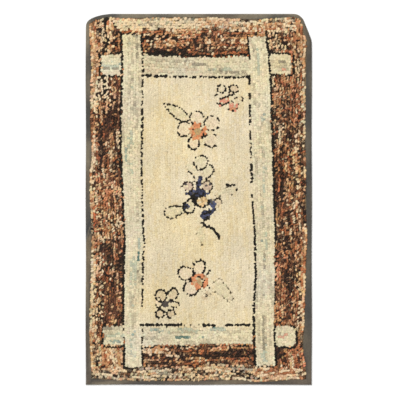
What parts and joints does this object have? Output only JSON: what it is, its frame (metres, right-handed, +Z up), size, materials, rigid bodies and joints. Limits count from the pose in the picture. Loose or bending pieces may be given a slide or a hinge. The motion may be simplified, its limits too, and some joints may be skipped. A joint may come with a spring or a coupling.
{
  "type": "hooked rag rug",
  "caption": "Flat hooked rag rug, a loop pile on a woven foundation, its hemmed edge bound in a folded cloth tape.",
  "frame": {"origin": "on the floor, under the middle of the rug's bounding box", "axes": "+Z up out of the pile, +Y along the rug's length towards the end with the two worn corners, +X across it"},
  "size_m": [0.61, 1, 0.01],
  "materials": {
    "rag_pile": "looped cotton and wool rag pile, cream field, pale bands, mottled rust and black border",
    "binding_tape": "matt grey-brown woven cotton tape"
  },
  "bodies": {
    "root": {"hooked_cloth": "rag_pile", "edge_binding": "binding_tape"}
  },
  "joints": []
}
